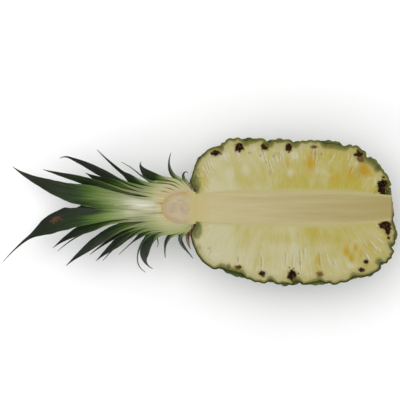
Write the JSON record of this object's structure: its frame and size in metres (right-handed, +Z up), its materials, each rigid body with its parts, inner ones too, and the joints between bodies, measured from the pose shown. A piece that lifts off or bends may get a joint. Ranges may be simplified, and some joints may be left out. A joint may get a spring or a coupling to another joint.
{
  "type": "pineapple half",
  "caption": "Half a pineapple cut lengthwise through fruit, core and leafy crown, lying with its pale yellow cut face up.",
  "frame": {"origin": "on the flat spot under the fruit that the half rests on, below the middle of the fruit", "axes": "+X along the fruit's axis to its base end, with the crown towards -X; +Z up, square to the cut face"},
  "size_m": [0.3372, 0.1263, 0.0596],
  "materials": {
    "fruit": "moist pale yellow flesh in a matt green and brown rind",
    "core": "fibrous, cream to tan, slightly moist",
    "crown_stem": "firm, tan, with an orange-tan rim",
    "leaf": "satin dark green with pale green to white bases"
  },
  "bodies": {
    "root": {"fruit": "fruit", "core": "core", "crown_stem": "crown_stem", "leaf_upper_01": "leaf", "leaf_upper_02": "leaf", "leaf_upper_03": "leaf", "leaf_upper_04": "leaf", "leaf_upper_05": "leaf", "leaf_upper_06": "leaf", "leaf_upper_07": "leaf", "leaf_upper_08": "leaf", "leaf_upper_09": "leaf", "leaf_lower_01": "leaf", "leaf_lower_02": "leaf", "leaf_lower_03": "leaf", "leaf_lower_04": "leaf", "leaf_lower_05": "leaf", "leaf_lower_06": "leaf", "leaf_lower_07": "leaf", "leaf_lower_08": "leaf", "leaf_lower_09": "leaf", "leaf_under_01": "leaf", "leaf_under_02": "leaf", "leaf_under_03": "leaf", "leaf_under_04": "leaf", "leaf_under_05": "leaf", "leaf_under_06": "leaf", "leaf_under_07": "leaf", "leaf_under_08": "leaf", "leaf_under_09": "leaf", "leaf_under_10": "leaf"}
  },
  "joints": []
}
